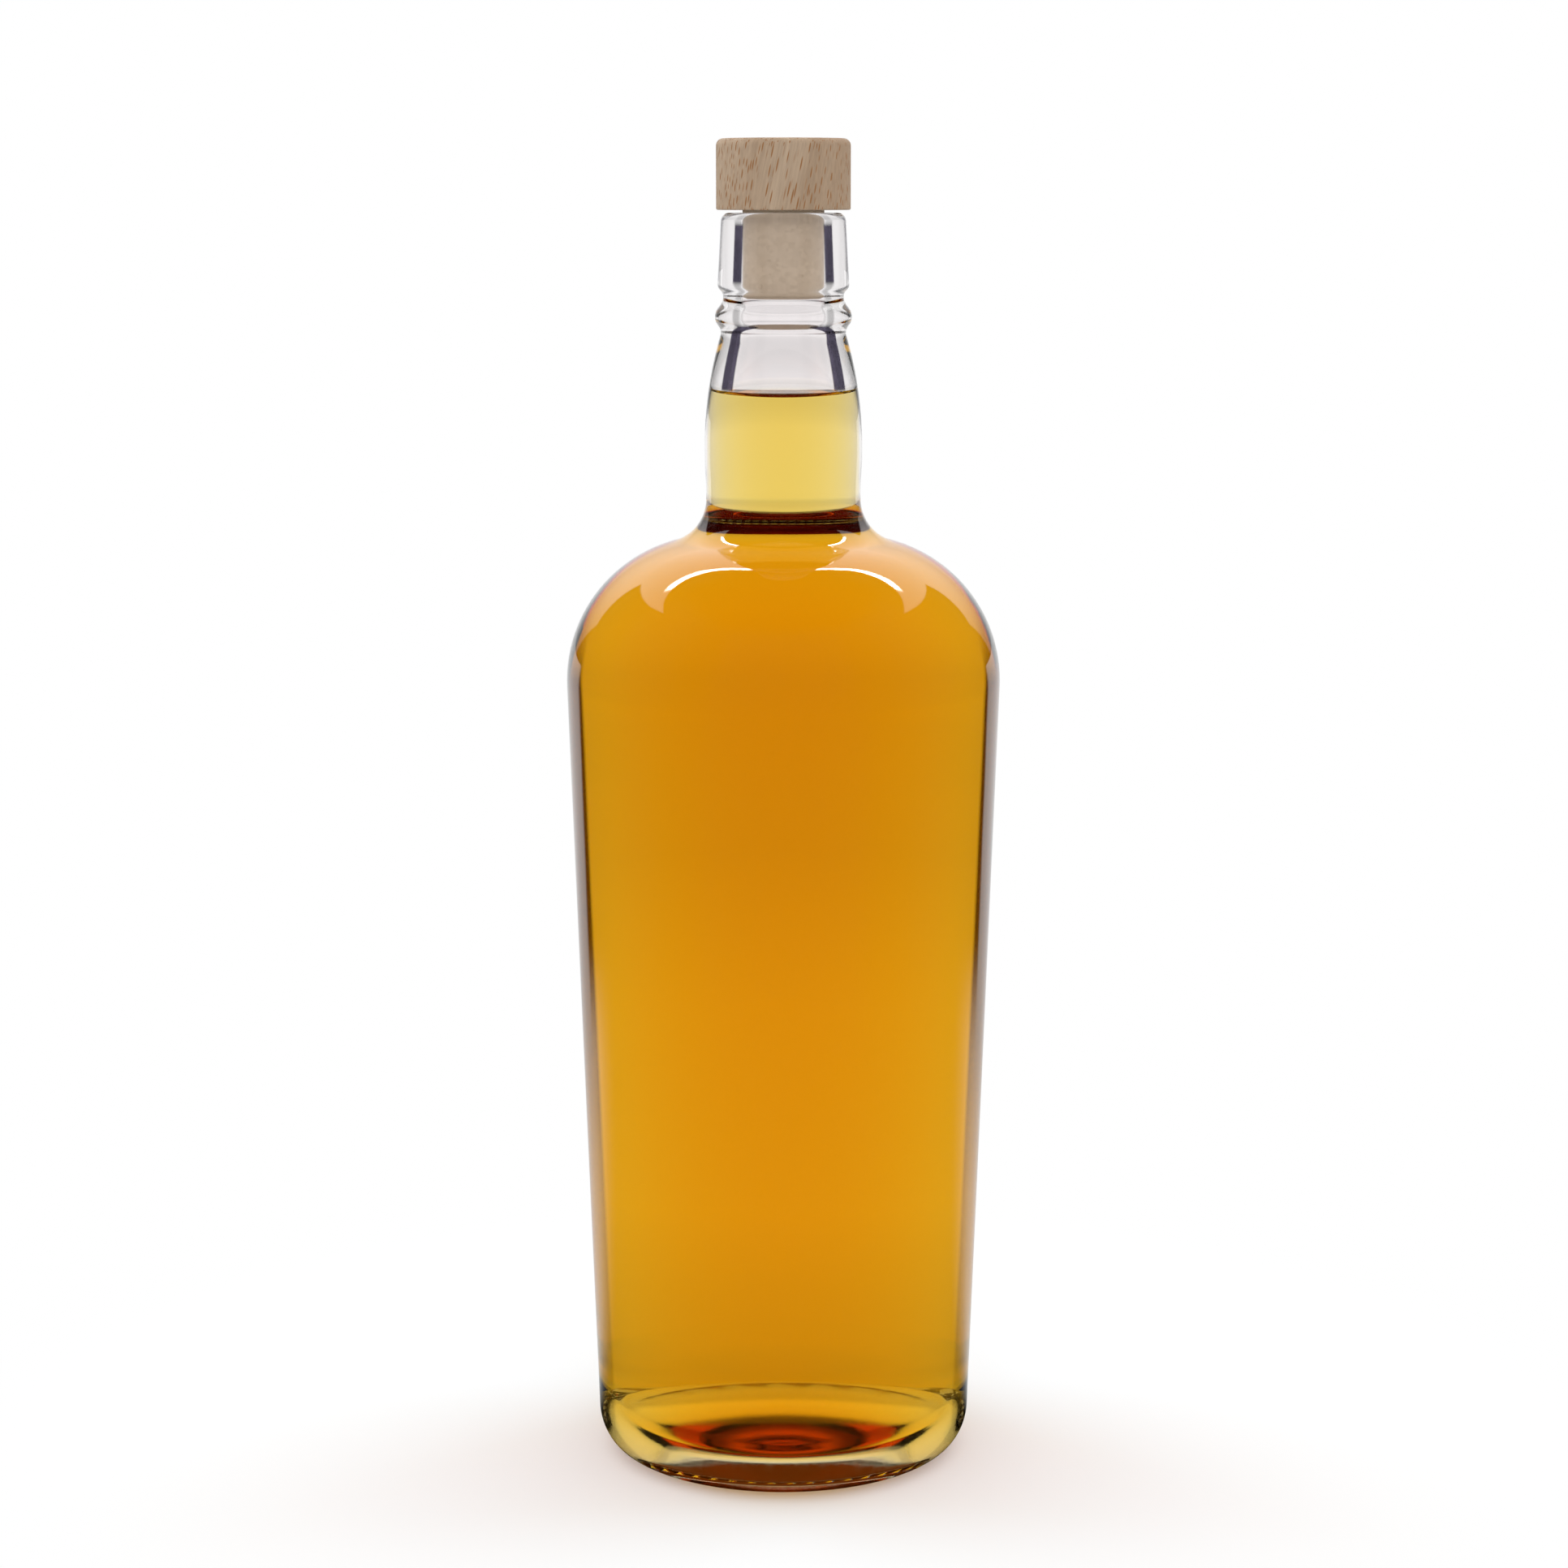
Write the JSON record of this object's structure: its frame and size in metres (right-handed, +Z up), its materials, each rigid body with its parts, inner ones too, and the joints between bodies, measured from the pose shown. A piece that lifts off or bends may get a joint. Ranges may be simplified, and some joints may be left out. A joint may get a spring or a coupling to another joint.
{
  "type": "glass bottle",
  "caption": "Round tapering clear glass spirits bottle with rounded shoulders, a bulged neck and a wooden-headed cork stopper, filled with amber liquid.",
  "frame": {"origin": "on the bottle's axis, in the plane that its bearing ring stands on", "axes": "+Z up along the bottle's axis, X and Y across; the bottle is round, so X and Y are free"},
  "size_m": [0.0966, 0.0966, 0.296],
  "materials": {
    "clear_glass": "polished clear flint glass",
    "amber_liquid": "clear amber liquid",
    "cork": "fine even pale cork",
    "beech": "smooth untreated beech with short ray flecks"
  },
  "bodies": {
    "bottle": {"glass_bottle": "clear_glass", "amber_spirit": "amber_liquid"},
    "stopper": {"cork_shank": "cork", "wooden_head": "beech"}
  },
  "joints": [
    {"name": "stopper_pull", "type": "slide", "parent": "bottle", "child": "stopper", "axis": [0, 0, 1], "range_m": [0, 0.04]}
  ]
}
